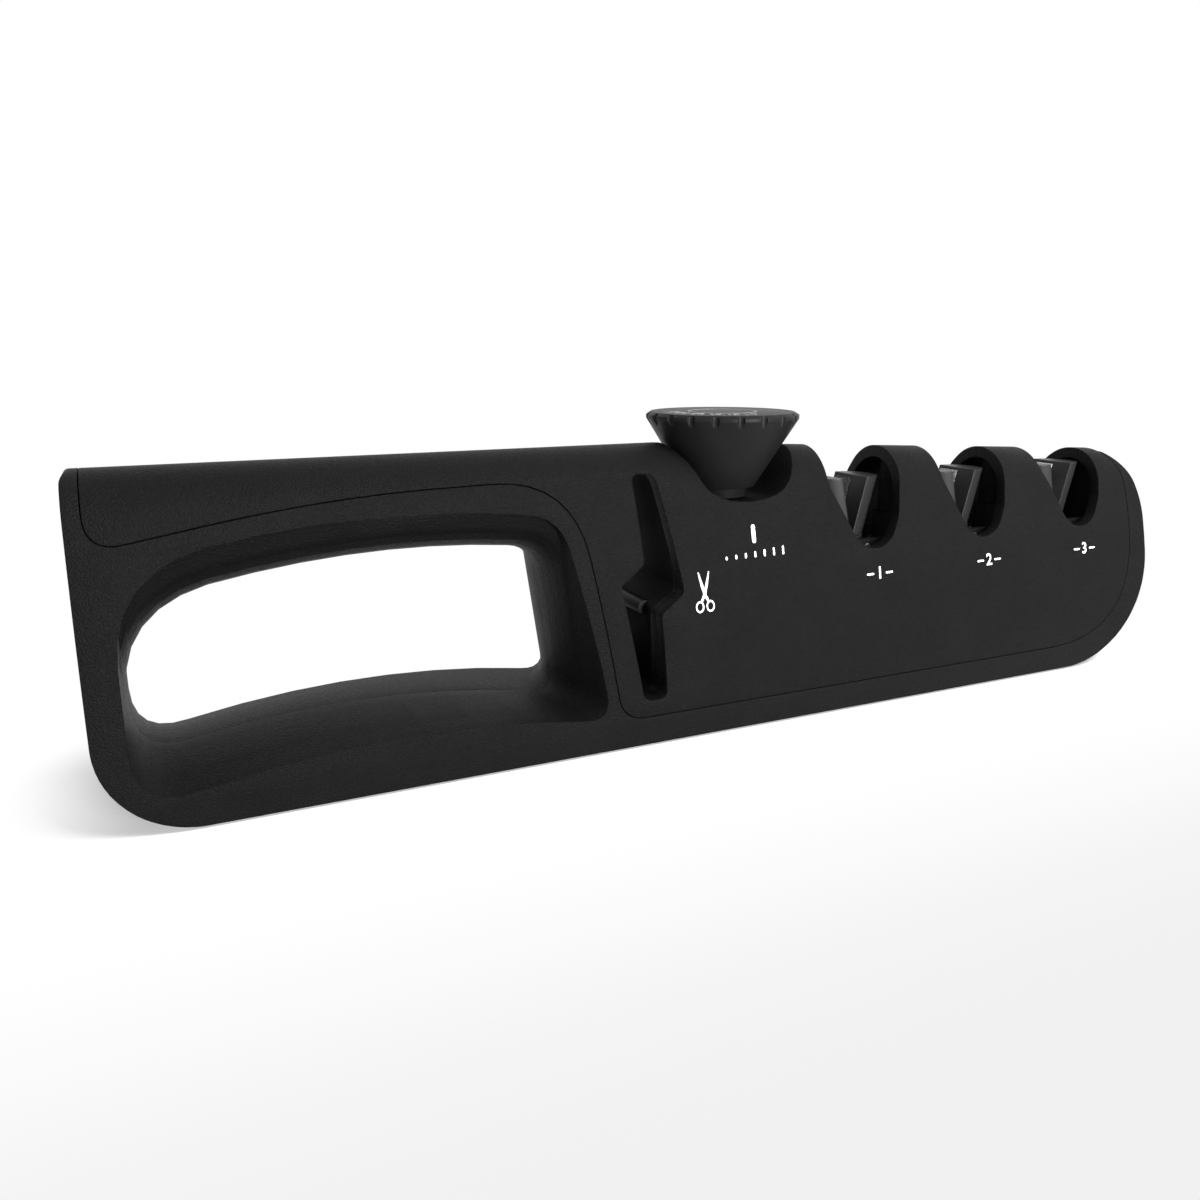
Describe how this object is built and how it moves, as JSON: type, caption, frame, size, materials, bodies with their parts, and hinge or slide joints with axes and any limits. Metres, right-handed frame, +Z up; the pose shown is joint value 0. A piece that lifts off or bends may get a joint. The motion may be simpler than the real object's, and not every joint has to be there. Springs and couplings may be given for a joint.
{
  "type": "pull through knife sharpener",
  "caption": "Handheld bench sharpener with a closed handle, blade cuts with abrasive plates at an adjustable angle, a knob that sets it and a slot for scissors.",
  "frame": {"origin": "centre of the bounding box in X and Y, at the underside of the foot pad", "axes": "+X from the handle end to the cut end, +Y to the back, +Z up"},
  "size_m": [0.2416, 0.036, 0.0643],
  "materials": {
    "body": "fine-grained matte black",
    "cover": "fine-grained matte black",
    "knob": "smooth black",
    "dark_plastic": "satin black",
    "pale_plastic": "natural acetal",
    "rubber": "matte",
    "steel": "plain steel",
    "brass": "turned brass",
    "ceramic_grey": "ground carbide",
    "abrasive_coarse": "dark grit",
    "abrasive_medium": "diamond grit on steel",
    "abrasive_fine": "white ceramic"
  },
  "bodies": {
    "body": {"body_front": "body", "body_back": "body", "cover": "cover", "base_plate": "dark_plastic", "foot_pad": "rubber", "chassis": "dark_plastic", "scissors_guide": "dark_plastic", "scissors_rods": "ceramic_grey", "upper_bush": "brass", "lower_bush": "brass", "guide_pins": "steel", "pivot_pins": "steel", "detent_ball": "steel", "detent_spring": "steel", "shell_screws": "steel", "base_screws": "steel", "chassis_screws": "steel", "cover_screws": "steel"},
    "knob": {"adjust_knob": "knob", "dial_disc": "knob", "knob_shaft": "steel", "knob_screw": "steel", "cam_disc": "pale_plastic"},
    "slide": {"slide_bar": "steel", "follower_pin": "steel"},
    "coarse_left": {"coarse_holder_left": "dark_plastic", "coarse_plate_left": "abrasive_coarse"},
    "coarse_right": {"coarse_holder_right": "dark_plastic", "coarse_plate_right": "abrasive_coarse"},
    "medium_left": {"medium_holder_left": "dark_plastic", "medium_plate_left": "abrasive_medium"},
    "medium_right": {"medium_holder_right": "dark_plastic", "medium_plate_right": "abrasive_medium"},
    "fine_left": {"fine_holder_left": "dark_plastic", "fine_plate_left": "abrasive_fine"},
    "fine_right": {"fine_holder_right": "dark_plastic", "fine_plate_right": "abrasive_fine"}
  },
  "joints": [
    {"name": "knob_turn", "type": "hinge", "parent": "body", "child": "knob", "pos_m": [0.0032, 0, 0.05], "axis": [0, 0, 1], "range_deg": [0, 100]},
    {"name": "slide_travel", "type": "slide", "parent": "body", "child": "slide", "axis": [1, 0, 0], "range_m": [0, 0.0032]},
    {"name": "coarse_left_lean", "type": "hinge", "parent": "body", "child": "coarse_left", "pos_m": [0.0327, 0, 0.034], "axis": [0, 1, 0], "range_deg": [-10, 0]},
    {"name": "coarse_right_lean", "type": "hinge", "parent": "body", "child": "coarse_right", "pos_m": [0.0365, 0, 0.034], "axis": [0, 1, 0], "range_deg": [0, 10]},
    {"name": "medium_left_lean", "type": "hinge", "parent": "body", "child": "medium_left", "pos_m": [0.06455, 0, 0.034], "axis": [0, 1, 0], "range_deg": [-10, 0]},
    {"name": "medium_right_lean", "type": "hinge", "parent": "body", "child": "medium_right", "pos_m": [0.06835, 0, 0.034], "axis": [0, 1, 0], "range_deg": [0, 10]},
    {"name": "fine_left_lean", "type": "hinge", "parent": "body", "child": "fine_left", "pos_m": [0.0964, 0, 0.034], "axis": [0, 1, 0], "range_deg": [-10, 0]},
    {"name": "fine_right_lean", "type": "hinge", "parent": "body", "child": "fine_right", "pos_m": [0.1002, 0, 0.034], "axis": [0, 1, 0], "range_deg": [0, 10]}
  ],
  "couplings": [
    {"joint": "knob_turn", "follows": "slide_travel", "rad_per_m": 545.41},
    {"joint": "coarse_left_lean", "follows": "slide_travel", "rad_per_m": -54.54},
    {"joint": "coarse_right_lean", "follows": "slide_travel", "rad_per_m": 54.54},
    {"joint": "medium_left_lean", "follows": "slide_travel", "rad_per_m": -54.54},
    {"joint": "medium_right_lean", "follows": "slide_travel", "rad_per_m": 54.54},
    {"joint": "fine_left_lean", "follows": "slide_travel", "rad_per_m": -54.54},
    {"joint": "fine_right_lean", "follows": "slide_travel", "rad_per_m": 54.54}
  ]
}
